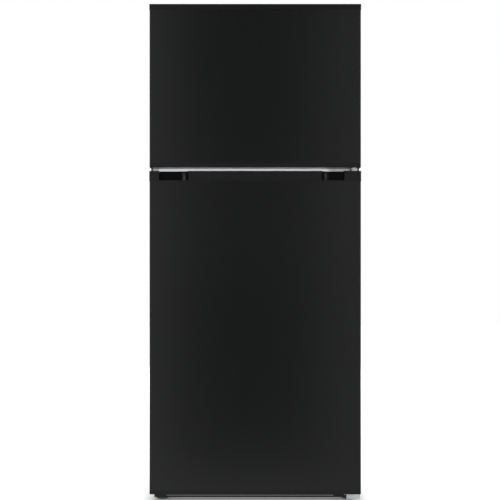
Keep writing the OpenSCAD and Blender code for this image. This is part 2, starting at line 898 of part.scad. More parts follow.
// Knob with a base flange, a pointer and the shaft behind it
module thermostat_dial() {
    flange = [20, 5];
    knob = [15, 15];
    color("#d0d3d5") {
        translate([dial_x, box_y[0] - gap, dial_z]) rotate([90, 0, 0]) {
            cylinder(h = flange[1], r = flange[0]);
            cylinder(h = knob[1], r = knob[0]);
            block([-2, 0, knob[1] - 1], [2, knob[0], knob[1] + 2]);
        }
        rod([dial_x, box_y[0] - 1, dial_z], [dial_x, box_y[0] + 14, dial_z], dial_r);
    }
}

module switch_plunger() {
    color("#fafafa")
        rod([plunger_x, dyke_top + gap, plunger_z], [plunger_x, box_y[0] + 26, plunger_z], plunger_r);
}

// Glass pane resting on ribs at height z, with a trim along its front edge
module shelf(half_w, z, y0, y1) {
    glass_z = z + rest;
    trim_d = 16;
    groove = 3;
    notch = 12;
    color("#cfe0dc") block([-half_w, y0 + groove, glass_z], [half_w, y1, glass_z + glass_t]);
    color("#f0f1f1") difference() {
        block([-half_w, y0, z - 6], [half_w, y0 + trim_d, z + 8]);
        block([-half_w - 1, y0 + groove, glass_z], [half_w + 1, y0 + trim_d + 1, glass_z + glass_t]);
        for (x = [-1, 1])
            block([x * half_w - notch, y0 - 1, z - 7], [x * half_w + notch, y0 + trim_d + 1, glass_z]);
    }
}

module shelf_upper() {
    shelf(fridge_space[0] - 1.5, shelf_z[1], shelf_front, shelf_back);
}

module shelf_lower() {
    shelf(fridge_space[0] - 1.5, shelf_z[0], shelf_front, shelf_back);
}

module freezer_shelf() {
    shelf(freezer_space[0] - 1.5, freezer_shelf_z, shelf_front + 6, cover_y - 4);
}

// Open bin for ice cubes, with a finger lip along its front
module ice_bin() {
    color("#dfe6ea") translate([-250, -130, freezer_space[1] + rest]) {
        difference() {
            cube([ice[0], ice[1], ice[2]]);
            translate([bin_t, bin_t, bin_t]) cube([ice[0] - 2 * bin_t, ice[1] - 2 * bin_t, ice[2]]);
        }
        translate([20, -10, ice[2] - 8]) cube([ice[0] - 40, 10 + eps, bin_t]);
    }
}

module crisper_cover() {
    w = fridge_space[0] - 1.5;
    front = shelf_front - 20;
    trim_d = 6;
    color("#cfe0dc") block([-w, front, cover_z + rest], [w, shelf_back, cover_z + rest + glass_t]);
    color("#f0f1f1") {
        block([-w + 12, front - trim_d, cover_z - 5], [w - 12, front, cover_z + 8]);
        block([-crisper_post, crisper_y + 8, crisper_z], [crisper_post, step_y - 6, cover_z + rest]);
    }
}

// Drawer section seen from the front, rounded along its two lower edges
module drawer_outline(x0, x1, z0, z1, r) {
    translate([x0 + r, z0]) square([x1 - x0 - 2 * r, z1 - z0]);
    translate([x0, z0 + r]) square([x1 - x0, z1 - z0 - r]);
    for (x = [x0 + r, x1 - r]) translate([x, z0 + r]) circle(r);
}

// Open-topped clear drawer between x0 and x1, with a grip rail along its front
module crisper(x0, x1) {
    y1 = crisper_y + crisper_d;
    z1 = crisper_z + crisper_h;
    front_t = bin_t + 2;
    grip = 12;
    color("#dfeaf0", 0.7) {
        difference() {
            translate([0, y1, 0]) rotate([90, 0, 0]) linear_extrude(crisper_d)
                drawer_outline(x0, x1, crisper_z, z1, crisper_round);
            translate([0, y1 - bin_t, 0]) rotate([90, 0, 0]) linear_extrude(crisper_d - bin_t - front_t)
                drawer_outline(x0 + bin_t, x1 - bin_t, crisper_z + bin_t, z1 + 1, crisper_round - bin_t);
        }
        block([x0 + 20, crisper_y - grip, z1 - 10], [x1 - 20, crisper_y + 1, z1]);
        block([x0 + 20, crisper_y - grip, z1 - 26], [x1 - 20, crisper_y - grip + 3, z1 - 9]);
    }
}

module crisper_left() {
    crisper(-crisper_reach, -crisper_post - 2);
}

module crisper_right() {
    crisper(crisper_post + 2, crisper_reach);
}

// ---------- doors ----------

// Door section seen from above, t inside its outer surface
module door_outline(t) {
    r = door_round - min(t, door_round - 1);
    x = half - t;
    translate([-x, door_y + t + r]) square([2 * x, door_t - t - r]);
    translate([-x + r, door_y + t]) square([2 * (x - r), door_t - t]);
    for (s = [-1, 1]) translate([s * (x - r), door_y + t + r]) circle(r);
}

module door_slab(t, z0, z1) {
    translate([0, 0, z0]) linear_extrude(z1 - z0) door_outline(t);
}

// Painted sheet wrapped around the front and sides, with a narrow return on the back
module door_skin(z0, z1) {
    color("#1a1b1c") {
        difference() {
            door_slab(0, z0, z1);
            door_slab(skin, z0 - eps, z1 + eps);
        }
        for (x = [-half, half - skin_return])
            block([x, door_back_y - skin, z0], [x + skin_return, door_back_y, z1]);
    }
}

// Space inside the raised wall of a door liner
module dyke_core(dyke) {
    ring(dyke[0] - skin, dyke[1] + skin, dyke[2] - skin, dyke_w - 2 * skin,
        door_back_y - skin, dyke_top - skin, space_round - skin);
}

module door_foam(z0, z1, dyke) {
    color("#e9dfae") difference() {
        union() {
            difference() {
                door_slab(skin, z0, z1);
                block([-half, door_back_y - skin, z0 - eps], [half, door_back_y + eps, z1 + eps]);
            }
            dyke_core(dyke);
        }
        for (z = [z0 - 1, z1 - 7]) translate([pin_x, pin_y, z]) cylinder(h = 8, r = pin_r + 1);
    }
}

module door_liner(z0, z1, dyke, bins) {
    color("#f2f3f2") {
        difference() {
            union() {
                block([-half + skin_return, door_back_y - skin, z0], [half - skin_return, door_back_y, z1]);
                ring(dyke[0], dyke[1], dyke[2], dyke_w, door_back_y - skin, dyke_top, space_round);
            }
            dyke_core(dyke);
        }
        for (z = bins, s = [-1, 1]) {
            x = dyke[0] - dyke_w;
            rod([s * (x + skin / 2), lug_y, z + lug_z], [s * (x - lug_l), lug_y, z + lug_z], lug_r);
        }
    }
}

// Gasket: a soft frame that fills the gap to the cabinet
module gasket(z0, z1) {
    color("#2b2d2f") ring(half - gasket_side, z0, z1, gasket_w, door_back_y, cab_y - gasket_squash, 8);
}

module pin_bore(z0, depth) {
    translate([pin_x, pin_y, z0]) cylinder(h = depth, r = pin_r + fit);
}

// Door bin that hangs on two lugs: wall height h, lower edge at z
module bin(dyke, z, h) {
    w = dyke[0] - dyke_w - bin_gap;
    color("#dfeaf0", 0.7) difference() {
        translate([0, bin_y + bin_d / 2, z]) difference() {
            linear_extrude(h) rounded_rect(2 * w, bin_d, bin_round);
            difference() {
                translate([0, 0, bin_t]) linear_extrude(h)
                    rounded_rect(2 * (w - bin_t), bin_d - 2 * bin_t, bin_round - 2);
                for (s = [-1, 1])
                    translate([s * (w - ear[0] / 2), -bin_d / 2 + ear[1] / 2, ear[2] / 2])
                        cube(ear, center = true);
            }
        }
        for (s = [-1, 1]) translate([s * w, lug_y, z - 1]) {
            slot_r = lug_r + gap;
            slot_x = lug_l - bin_gap + gap;
            translate([0, 0, (lug_z + 1) / 2]) cube([2 * slot_x, 2 * slot_r, lug_z + 1], center = true);
            rod([-slot_x, 0, lug_z + 1], [slot_x, 0, lug_z + 1], slot_r);
        }
    }
}

module freezer_door_skin() {
    door_skin(freezer_door_z + bottom_cap_h, freezer_door_top - top_cap_h);
}

module freezer_door_foam() {
    door_foam(freezer_door_z + bottom_cap_h, freezer_door_top - top_cap_h, freezer_dyke);
}

module freezer_door_liner() {
    door_liner(freezer_door_z + bottom_cap_h, freezer_door_top - top_cap_h, freezer_dyke, freezer_bins_z);
}

module freezer_door_top_cap() {
    color("#161718") difference() {
        door_slab(-cap_proud, freezer_door_top - top_cap_h, freezer_door_top);
        intersection() {
            translate([pin_x, pin_y, freezer_door_top - recess_d]) cylinder(h = recess_d + 1, r = recess_r);
            block([0, pin_y - recess_front, 0], [cab_w, cab_y, freezer_door_top + 5]);
        }
        pin_bore(freezer_door_top - top_cap_h - 1, top_cap_h);
    }
}

module freezer_door_bottom_cap() {
    color("#161718") difference() {
        door_slab(0, freezer_door_z, freezer_door_z + bottom_cap_h);
        pin_bore(freezer_door_z - 1, pin_depth + 1);
    }
}

module freezer_door_gasket() {
    gasket(freezer_door_z + gasket_mid, freezer_door_top - gasket_side);
}

module freezer_bin_upper() {
    bin(freezer_dyke, freezer_bins_z[1], freezer_bin_h);
}

module freezer_bin_lower() {
    bin(freezer_dyke, freezer_bins_z[0], freezer_bin_h);
}

module fridge_door_skin() {
    door_skin(door_z + bottom_cap_h, fridge_door_top - grip_cap_h);
}

module fridge_door_foam() {
    difference() {
        door_foam(door_z + bottom_cap_h, fridge_door_top - grip_cap_h, fridge_dyke);
        both_grips() {
            grip_cup(grip_inset_free, cup_t);
            grip_cup(grip_inset_hinge, cup_t);
        }
    }
}

module fridge_door_liner() {
    door_liner(door_z + bottom_cap_h, fridge_door_top - grip_cap_h, fridge_dyke, fridge_bins_z);
}

// Pocket grip on the free side: its back wall curves out to the door's front at the inner end
module grip_pocket(inset) {
    x0 = -half + inset;
    x1 = -half + grip_end;
    translate([0, 0, fridge_door_top - grip_h]) linear_extrude(grip_h + 1) {
        translate([x0, front_y - 1]) square([x1 - x0, grip_d + 1]);
        translate([x1, front_y]) circle(grip_d);
    }
    block([x0, door_y + grip_lip, fridge_door_top - grip_cap_h - cup_h],
        [x1, front_y + grip_d, fridge_door_top]);
}

// Outer walls of the cup below a pocket grip, where the fingers hook behind the lip
module grip_cup(inset, t) {
    block([-half + inset - t, door_y + skin, fridge_door_top - grip_cap_h - cup_h - t],
        [-half + grip_end + t, front_y + grip_d + t, fridge_door_top - grip_cap_h]);
}

module both_grips() {
    children(0);
    mirror([1, 0, 0]) children(1);
}

module fridge_door_top_cap() {
    color("#161718") difference() {
        union() {
            door_slab(-cap_proud, fridge_door_top - grip_cap_h, fridge_door_top);
            both_grips() {
                grip_cup(grip_inset_free, cup_t);
                grip_cup(grip_inset_hinge, cup_t);
            }
        }
        both_grips() {
            grip_pocket(grip_inset_free);
            grip_pocket(grip_inset_hinge);
        }
        pin_bore(fridge_door_top - pin_depth, pin_depth + 1);
    }
}

module fridge_door_bottom_cap() {
    color("#161718") difference() {
        door_slab(0, door_z, door_z + bottom_cap_h);
        pin_bore(door_z - 1, pin_depth + 1);
    }
}

module fridge_door_gasket() {
    gasket(door_z + gasket_side, fridge_door_top - gasket_mid);
}

module fridge_bin_upper() {
    bin(fridge_dyke, fridge_bins_z[2], bin_h);
}

module fridge_bin_middle() {
    bin(fridge_dyke, fridge_bins_z[1], bin_h);
}

module fridge_bin_lower() {
    bin(fridge_dyke, fridge_bins_z[0], bin_h + 24);
}

// ---------- running gear ----------

module leg(side) {
    color("#3c3f42") translate([side * leg_x, leg_y, 0]) {
        cylinder(h = foot_h - 3, r = foot_d / 2);
        translate([0, 0, foot_h - 3]) cylinder(h = 3, r1 = foot_d / 2, r2 = foot_d / 2 - 4);
        cylinder(h = base_z + stem_rise, r = leg_r);
    }
}

module leg_left() {
    leg(-1);
}

module leg_right() {
    leg(1);
}

module roller(side) {
    color("#2f3134") translate([side * roller_x, roller_y, roller_d / 2]) difference() {
        union() {
            rod([-roller_w / 2, 0, 0], [roller_w / 2, 0, 0], roller_d / 2 - 1);
            rod([-roller_w / 2 + 2, 0, 0], [roller_w / 2 - 2, 0, 0], roller_d / 2);
        }
        rod([-roller_w, 0, 0], [roller_w, 0, 0], axle_r + fit);
    }
}

module roller_left() {
    roller(-1);
}

module roller_right() {
    roller(1);
}

outer_shell();
rear_panel();
base_pan();
cabinet_foam();
freezer_liner();
fridge_liner();
centre_rail();
kick_plate();
top_hinge();
top_hinge_cover();
middle_hinge();
bottom_hinge();
fasteners();
compressor();
compressor_grommets();
condenser_coil();
condenser_spacers();
refrigerant_pipes();
drip_tray();
drain_tube();
bay_cover();
power_inlet();
evaporator();
evaporator_cover();
defrost_heater();
fan_motor();
fan_blade();
air_duct();
control_box();
lamp_lens();
thermostat_dial();
switch_plunger();
freezer_shelf();
ice_bin();
shelf_upper();
shelf_lower();
crisper_cover();
crisper_left();
crisper_right();
freezer_door_skin();
freezer_door_foam();
freezer_door_liner();
freezer_door_top_cap();
freezer_door_bottom_cap();
freezer_door_gasket();
freezer_bin_upper();
freezer_bin_lower();
fridge_door_skin();
fridge_door_foam();
fridge_door_liner();
fridge_door_top_cap();
fridge_door_bottom_cap();
fridge_door_gasket();
fridge_bin_upper();
fridge_bin_middle();
fridge_bin_lower();
leg_left();
leg_right();
roller_left();
roller_right();
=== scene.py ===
"""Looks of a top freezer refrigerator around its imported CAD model. Units are metres."""

import json
import math

import bmesh
import bpy
from mathutils import Matrix, Vector


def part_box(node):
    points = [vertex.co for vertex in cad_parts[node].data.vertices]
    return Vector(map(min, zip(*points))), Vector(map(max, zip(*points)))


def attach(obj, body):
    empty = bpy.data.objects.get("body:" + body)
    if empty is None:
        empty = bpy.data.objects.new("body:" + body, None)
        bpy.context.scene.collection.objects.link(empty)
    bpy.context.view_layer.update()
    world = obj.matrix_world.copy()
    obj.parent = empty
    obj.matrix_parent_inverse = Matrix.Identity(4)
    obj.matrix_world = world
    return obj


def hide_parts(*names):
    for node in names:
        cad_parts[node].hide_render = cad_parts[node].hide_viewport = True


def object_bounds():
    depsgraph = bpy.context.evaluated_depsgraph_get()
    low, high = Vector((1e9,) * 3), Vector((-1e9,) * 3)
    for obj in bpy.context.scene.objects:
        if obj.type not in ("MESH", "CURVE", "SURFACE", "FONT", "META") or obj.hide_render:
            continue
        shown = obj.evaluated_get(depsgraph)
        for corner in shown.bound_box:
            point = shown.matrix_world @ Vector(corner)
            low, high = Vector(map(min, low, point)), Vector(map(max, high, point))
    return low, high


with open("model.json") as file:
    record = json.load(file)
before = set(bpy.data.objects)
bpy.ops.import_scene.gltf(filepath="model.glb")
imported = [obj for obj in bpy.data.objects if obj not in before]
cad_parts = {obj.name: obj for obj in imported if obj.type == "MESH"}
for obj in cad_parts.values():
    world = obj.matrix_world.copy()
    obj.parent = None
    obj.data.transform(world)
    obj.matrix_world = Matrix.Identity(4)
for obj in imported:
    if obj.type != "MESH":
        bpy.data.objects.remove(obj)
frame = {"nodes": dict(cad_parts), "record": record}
NODES = frame["nodes"]
CAD_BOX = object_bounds()
MM = 0.001

# Sockets of a colour Mix node, which share their names with those of its other kinds
MIX_FACTOR, MIX_A, MIX_B = 0, 6, 7
MIX_RESULT = 2


# ---------- node helpers ----------

class Shader:
    """One material with its Principled BSDF and short calls for procedural nodes."""

    def __init__(self, name, color, roughness, metallic=0.0):
        self.material = bpy.data.materials.new(name)
        self.material.use_nodes = True
        self.tree = self.material.node_tree
        self.bsdf = self.tree.nodes["Principled BSDF"]
        self.set("Base Color", (*color, 1.0))
        self.set("Roughness", roughness)
        self.set("Metallic", metallic)

    def set(self, socket, value):
        """Sets an unlinked input of the Principled BSDF."""
        self.bsdf.inputs[socket].default_value = value

    def node(self, kind, **settings):
        """Adds a node with those settings."""
        made = self.tree.nodes.new(kind)
        for key, value in settings.items():
            setattr(made, key, value)
        return made

    def link(self, output, target):
        self.tree.links.new(output, target)

    def coords(self, stretch=(1, 1, 1)):
        """Object coordinates, which are metres in the row frame, stretched per axis."""
        source = self.node("ShaderNodeTexCoord")
        mapping = self.node("ShaderNodeMapping")
        mapping.inputs["Scale"].default_value = stretch
        self.link(source.outputs["Object"], mapping.inputs["Vector"])
        return mapping.outputs["Vector"]

    def noise(self, scale, detail, stretch=(1, 1, 1)):
        """Layered noise, 0 to 1, with scale features per metre."""
        made = self.node("ShaderNodeTexNoise")
        made.inputs["Scale"].default_value = scale
        made.inputs["Detail"].default_value = detail
        self.link(self.coords(stretch), made.inputs["Vector"])
        return made.outputs["Fac"]

    def cells(self, scale):
        """Distance to the nearest cell's middle, with scale cells per metre."""
        made = self.node("ShaderNodeTexVoronoi")
        made.inputs["Scale"].default_value = scale
        self.link(self.coords(), made.inputs["Vector"])
        return made.outputs["Distance"]

    def span(self, value, low, high):
        """Maps a 0 to 1 value onto low to high."""
        made = self.node("ShaderNodeMapRange")
        made.inputs["To Min"].default_value = low
        made.inputs["To Max"].default_value = high
        self.link(value, made.inputs["Value"])
        return made.outputs["Result"]

    def vary_color(self, value, low, high):
        """Blends the base colour between two colours by a 0 to 1 value."""
        made = self.node("ShaderNodeMix", data_type="RGBA")
        made.inputs[MIX_A].default_value = (*low, 1.0)
        made.inputs[MIX_B].default_value = (*high, 1.0)
        self.link(value, made.inputs[MIX_FACTOR])
        self.link(made.outputs[MIX_RESULT], self.bsdf.inputs["Base Color"])

    def vary_roughness(self, value, low, high):
        """Spreads the roughness from low to high by a 0 to 1 value."""
        self.link(self.span(value, low, high), self.bsdf.inputs["Roughness"])

    def bump(self, value, depth, strength):
        """Bump of that depth in metres."""
        made = self.node("ShaderNodeBump")
        made.inputs["Distance"].default_value = depth
        made.inputs["Strength"].default_value = strength
        self.link(value, made.inputs["Height"])
        self.link(made.outputs["Normal"], self.bsdf.inputs["Normal"])


# ---------- materials ----------

def door_paint():
    """Baked black paint on flat steel: satin, with a fine vertical grain and a slight orange peel."""
    m = Shader("door_paint", (0.0056, 0.0058, 0.0060), 0.20)
    grain = m.noise(220, 4.0, stretch=(1.0, 1.0, 0.012))
    m.vary_color(grain, (0.0044, 0.0047, 0.0048), (0.0066, 0.0069, 0.0070))
    m.vary_roughness(m.noise(60, 3.0, stretch=(1.0, 1.0, 0.05)), 0.18, 0.23)
    m.bump(m.noise(420, 2.0), 0.00002, 0.5)
    return m.material


def cabinet_paint():
    """The cabinet's textured black paint."""
    m = Shader("cabinet_paint", (0.011, 0.0112, 0.0118), 0.42)
    m.vary_color(m.noise(9, 3.0), (0.0095, 0.0097, 0.0102), (0.0125, 0.0128, 0.0134))
    m.vary_roughness(m.noise(35, 3.0), 0.38, 0.47)
    m.bump(m.cells(900), 0.00006, 0.6)
    return m.material


def black_plastic():
    """Moulded black plastic with a fine spark-eroded grain."""
    m = Shader("black_plastic", (0.0050, 0.0050, 0.0052), 0.30)
    m.vary_color(m.noise(25, 2.0), (0.0042, 0.0042, 0.0044), (0.0058, 0.0058, 0.0060))
    m.vary_roughness(m.noise(90, 2.0), 0.27, 0.34)
    m.bump(m.noise(2600, 2.0), 0.00003, 0.6)
    return m.material


def zinc():
    """Zinc-plated steel with a faint rolled grain and a spangle."""
    m = Shader("zinc", (0.56, 0.57, 0.58), 0.42, 0.45)
    m.vary_color(m.cells(45), (0.50, 0.51, 0.53), (0.64, 0.65, 0.65))
    m.vary_roughness(m.noise(70, 3.0, stretch=(1.0, 1.0, 0.1)), 0.34, 0.52)
    m.bump(m.noise(300, 3.0, stretch=(1.0, 1.0, 0.08)), 0.00003, 0.5)
    return m.material


def rail_paint():
    """Pale grey paint of the rail between the compartments."""
    m = Shader("rail_paint", (0.66, 0.67, 0.69), 0.45)
    m.vary_color(m.noise(30, 2.0), (0.63, 0.64, 0.66), (0.69, 0.70, 0.72))
    m.bump(m.noise(900, 2.0), 0.00003, 0.5)
    return m.material


def liner_plastic():
    """Vacuum-formed white liner: smooth gloss with slow waviness from the forming."""
    m = Shader("liner_plastic", (0.70, 0.713, 0.72), 0.22)
    m.vary_color(m.noise(3, 2.0), (0.685, 0.698, 0.705), (0.715, 0.728, 0.735))
    m.vary_roughness(m.noise(14, 3.0), 0.18, 0.29)
    m.bump(m.noise(22, 2.0), 0.0004, 0.35)
    return m.material


def white_plastic():
    """Injection-moulded white plastic with a light matt grain."""
    m = Shader("white_plastic", (0.60, 0.61, 0.62), 0.40)
    m.vary_color(m.noise(12, 2.0), (0.58, 0.59, 0.60), (0.62, 0.63, 0.64))
    m.bump(m.noise(1500, 2.0), 0.00003, 0.5)
    return m.material


def dark_plastic():
    """Dark grey moulded plastic of feet, wheels and covers."""
    m = Shader("dark_plastic", (0.045, 0.047, 0.05), 0.50)
    m.vary_color(m.noise(18, 3.0), (0.038, 0.040, 0.043), (0.054, 0.056, 0.059))
    m.bump(m.noise(1100, 2.0), 0.00005, 0.6)
    return m.material


def clear_plastic():
    """Crystal polystyrene of bins and drawers, faintly blue at its thick edges."""
    m = Shader("clear_plastic", (0.97, 0.985, 0.99), 0.05)
    m.set("IOR", 1.49)
    m.set("Transmission Weight", 0.93)
    m.vary_roughness(m.noise(25, 2.0), 0.04, 0.11)
    m.bump(m.noise(16, 2.0), 0.0003, 0.3)
    return m.material


def frosted_plastic():
    """Satin translucent plastic of the lamp's cover and the ice bin."""
    m = Shader("frosted_plastic", (0.86, 0.89, 0.91), 0.45)
    m.set("IOR", 1.47)
    m.set("Transmission Weight", 0.55)
    m.vary_roughness(m.noise(40, 2.0), 0.38, 0.52)
    m.bump(m.noise(1800, 2.0), 0.00003, 0.6)
    return m.material


def shelf_glass():
    """Tempered glass, slightly green, with the faint roll waves of float glass."""
    m = Shader("shelf_glass", (0.84, 0.94, 0.90), 0.02)
    m.set("IOR", 1.52)
    m.set("Transmission Weight", 0.95)
    m.vary_roughness(m.noise(8, 2.0), 0.01, 0.04)
    m.bump(m.noise(5, 1.0, stretch=(1, 0.2, 1)), 0.0002, 0.2)
    return m.material


def foam():
    """Yellowish polyurethane foam with open cells."""
    m = Shader("foam", (0.72, 0.60, 0.30), 0.85)
    m.vary_color(m.noise(160, 4.0), (0.62, 0.50, 0.24), (0.80, 0.69, 0.38))
    m.bump(m.cells(500), 0.0004, 0.8)
    return m.material


def rubber():
    """Matt dark grey seal with a slight bloom."""
    m = Shader("rubber", (0.05, 0.052, 0.056), 0.62)
    m.vary_color(m.noise(60, 3.0), (0.042, 0.044, 0.047), (0.062, 0.064, 0.068))
    m.bump(m.noise(700, 3.0), 0.00004, 0.6)
    return m.material


def compressor_enamel():
    """Glossy black enamel on steel."""
    m = Shader("compressor_enamel", (0.014, 0.014, 0.015), 0.26)
    m.vary_color(m.noise(20, 3.0), (0.011, 0.011, 0.012), (0.019, 0.019, 0.020))
    m.bump(m.noise(130, 2.0), 0.0002, 0.5)
    return m.material


def copper():
    """Drawn copper tube, tarnished in patches."""
    m = Shader("copper", (0.72, 0.34, 0.19), 0.30, 1.0)
    m.vary_color(m.noise(40, 4.0), (0.55, 0.25, 0.14), (0.82, 0.42, 0.26))
    m.vary_roughness(m.noise(80, 3.0), 0.22, 0.42)
    m.bump(m.noise(240, 2.0), 0.00005, 0.4)
    return m.material


def aluminium():
    """Bare rolled aluminium."""
    m = Shader("aluminium", (0.74, 0.75, 0.76), 0.36, 1.0)
    m.vary_color(m.noise(50, 3.0), (0.68, 0.69, 0.70), (0.79, 0.80, 0.81))
    m.bump(m.noise(500, 2.0, stretch=(0.1, 1, 1)), 0.00003, 0.5)
    return m.material


MATERIALS = {
    "black_paint": door_paint(),
    "black_plastic": black_plastic(),
    "zinc_plate": zinc(),
    "rail_paint": rail_paint(),
    "white_liner": liner_plastic(),
    "foam": foam(),
    "clear_plastic": clear_plastic(),
    "shelf_glass": shelf_glass(),
    "seal_rubber": rubber(),
    "compressor_black": compressor_enamel(),
    "copper": copper(),
    "aluminium": aluminium(),
    "dark_plastic": dark_plastic(),
    "white_plastic": white_plastic(),
}
CABINET_PAINT = cabinet_paint()
FROSTED = frosted_plastic()


def paint(obj, material):
    """Puts one material on every slot of an object."""
    if not obj.material_slots:
        obj.data.materials.append(material)
    for held in obj.material_slots:
        held.material = material


def dress_cad():
    """Gives each CAD node the material of its record slot."""
    slots = {s["node"]: s["material_slot"] for s in frame["record"]["subparts"]}
    for name, obj in NODES.items():
        paint(obj, MATERIALS[slots[name]])
    paint(NODES["outer_shell"], CABINET_PAINT)
    paint(NODES["lamp_lens"], FROSTED)
    paint(NODES["ice_bin"], FROSTED)


# ---------- softened edges ----------

# Width of the rounding of each CAD node's edges, in millimetres
EDGE_WIDTH = {
    "freezer_door_liner": 4.0, "fridge_door_liner": 4.0, "freezer_liner": 1.0, "fridge_liner": 1.0,
    "freezer_door_top_cap": 0.8, "freezer_door_bottom_cap": 0.8,
    "fridge_door_top_cap": 0.8, "fridge_door_bottom_cap": 0.8,
    "freezer_bin_upper": 1.0, "freezer_bin_lower": 1.0,
    "fridge_bin_upper": 1.0, "fridge_bin_middle": 1.0, "fridge_bin_lower": 1.0,
    "crisper_left": 1.0, "crisper_right": 1.0, "ice_bin": 1.0, "control_box": 2.0, "lamp_lens": 2.0,
    "air_duct": 3.0, "top_hinge_cover": 1.5, "kick_plate": 0.8, "centre_rail": 0.8,
    "freezer_shelf": 0.8, "shelf_upper": 0.8, "shelf_lower": 0.8, "crisper_cover": 0.8,
    "fan_motor": 1.0, "compressor": 1.5, "drip_tray": 1.0,
    "top_hinge": 0.5, "middle_hinge": 0.5, "bottom_hinge": 0.5, "bay_cover": 0.4,
}


def soften_edges():
    """Rounds the CAD nodes' sharp edges with modifiers, so that they catch light."""
    for name, width in EDGE_WIDTH.items():
        weld = NODES[name].modifiers.new("weld", "WELD")
        weld.merge_threshold = 0.001 * MM
        bevel = NODES[name].modifiers.new("bevel", "BEVEL")
        bevel.width = width * MM
        bevel.segments = 3
        bevel.limit_method = "ANGLE"
        bevel.angle_limit = math.radians(40)
        bevel.harden_normals = True
        bevel.use_clamp_overlap = True


# ---------- mesh helpers ----------

def add_piece(name, bm, body, slot, material=None, smooth_deg=35, replaces=None):
    """Turns a bmesh into a piece that rides a body and takes a record material slot."""
    bmesh.ops.remove_doubles(bm, verts=bm.verts, dist=0.001 * MM)
    bmesh.ops.recalc_face_normals(bm, faces=bm.faces)
    mesh = bpy.data.meshes.new(name)
    bm.to_mesh(mesh)
    bm.free()
    mesh.shade_smooth()
    mesh.set_sharp_from_angle(angle=math.radians(smooth_deg))
    mesh.materials.append(material or MATERIALS[slot])
    obj = bpy.data.objects.new(name, mesh)
    bpy.context.scene.collection.objects.link(obj)
    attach(obj, body)
    if replaces:
        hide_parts(replaces)


def bridge(bm, rings, closed=True, ends=False):
    """Joins rings of points, each a list of vectors of one length, by quads."""
    made = [[bm.verts.new(p) for p in ring] for ring in rings]
    count = len(made[0])
    pairs = list(zip(made, made[1:])) + ([(made[-1], made[0])] if closed else [])
    for a, b in pairs:
        for i in range(count):
            j = (i + 1) % count
            bm.faces.new((a[i], a[j], b[j], b[i]))
    if ends:
        bm.faces.new(made[0])
        bm.faces.new(list(reversed(made[-1])))


def around(steps):
    """Angles of a full turn."""
    return [2 * math.pi * k / steps for k in range(steps)]


def revolve(bm, profile, matrix, steps=48, swell=None):
    """Turns a profile of (radius, height) points about matrix's Z axis; swell scales the radius by angle."""
    made = []
    for a in around(steps):
        grow = swell(a) if swell else 1.0
        made.append([bm.verts.new(matrix @ Vector((r * grow * math.cos(a), r * grow * math.sin(a), h)))
                     for r, h in profile])
    for a, b in zip(made, made[1:] + made[:1]):
        for i in range(len(profile) - 1):
            bm.faces.new((a[i], a[i + 1], b[i + 1], b[i]))


def facing(origin, direction):
    """Matrix whose local Z points along direction from origin."""
    turn = Vector(direction).to_track_quat("Z", "Y").to_matrix().to_4x4()
    return Matrix.Translation(origin) @ turn


def ring_path(half_w, z0, z1, r, steps=8):
    """Rounded rectangle in the XZ plane as (x, z, outward x, outward z); r of 0 gives mitred corners."""
    path = []
    for sx, sz, start in ((1, 1, 0), (-1, 1, 90), (-1, -1, 180), (1, -1, 270)):
        cx, cz = sx * (half_w - r), (z1 - r if sz > 0 else z0 + r)
        if r == 0:
            path.append((cx, cz, sx, sz))
            continue
        for k in range(steps + 1):
            a = math.radians(start + 90 * k / steps)
            path.append((cx + r * math.cos(a), cz + r * math.sin(a), math.cos(a), math.sin(a)))
    return path


def sweep_ring(bm, path, profile, y0):
    """Carries a profile of (outward, along +Y) points around a ring path."""
    bridge(bm, [[Vector((x + nx * u, y0 + v, z + nz * u)) for u, v in profile]
                for x, z, nx, nz in path])


def smooth_profile(points, steps):
    """Closed Catmull-Rom curve through the points."""
    out = []
    count = len(points)
    for i in range(count):
        p = [Vector(points[(i + k) % count]).to_3d() for k in (-1, 0, 1, 2)]
        for t in (k / steps for k in range(steps)):
            q = 0.5 * (2 * p[1] + (p[2] - p[0]) * t + (2 * p[0] - 5 * p[1] + 4 * p[2] - p[3]) * t * t
                       + (3 * p[1] - p[0] - 3 * p[2] + p[3]) * t ** 3)
            out.append((q.x, q.y))
    return out


def rod(bm, a, b, radius, sides):
    """Straight closed rod between two points."""
    line = Vector(b) - Vector(a)
    matrix = facing(a, line)
    rings = [[matrix @ Vector((radius * math.cos(t), radius * math.sin(t), h)) for t in around(sides)]
             for h in (0, line.length)]
    bridge(bm, rings, closed=False, ends=True)


def soft_box(bm, lo, hi, r, segments=3):
    """Block with rounded edges."""
    made = bmesh.ops.create_cube(bm, size=1.0)["verts"]
    size = Vector(hi) - Vector(lo)
    centre = (Vector(hi) + Vector(lo)) / 2
    for v in made:
        v.co = Vector(c * s for c, s in zip(v.co, size)) + centre
    edges = {e for v in made for e in v.link_edges}
    bmesh.ops.bevel(bm, geom=list(edges), offset=r, segments=segments, profile=0.5, affect="EDGES")


def islands(obj):
    """Boxes of the separate solids in a CAD node's mesh."""
    bm = bmesh.new()
    bm.from_mesh(obj.data)
    bmesh.ops.remove_doubles(bm, verts=bm.verts, dist=0.001 * MM)
    left, found = set(bm.verts), []
    while left:
        waiting, group = [left.pop()], []
        while waiting:
            vert = waiting.pop()
            group.append(vert.co.copy())
            near = {edge.other_vert(vert) for edge in vert.link_edges} & left
            left -= near
            waiting += near
        lo = Vector(min(c[i] for c in group) for i in range(3))
        hi = Vector(max(c[i] for c in group) for i in range(3))
        found.append((lo, hi))
    bm.free()
    return sorted(found, key=lambda b: tuple(b[0]))


# ---------- running gear ----------

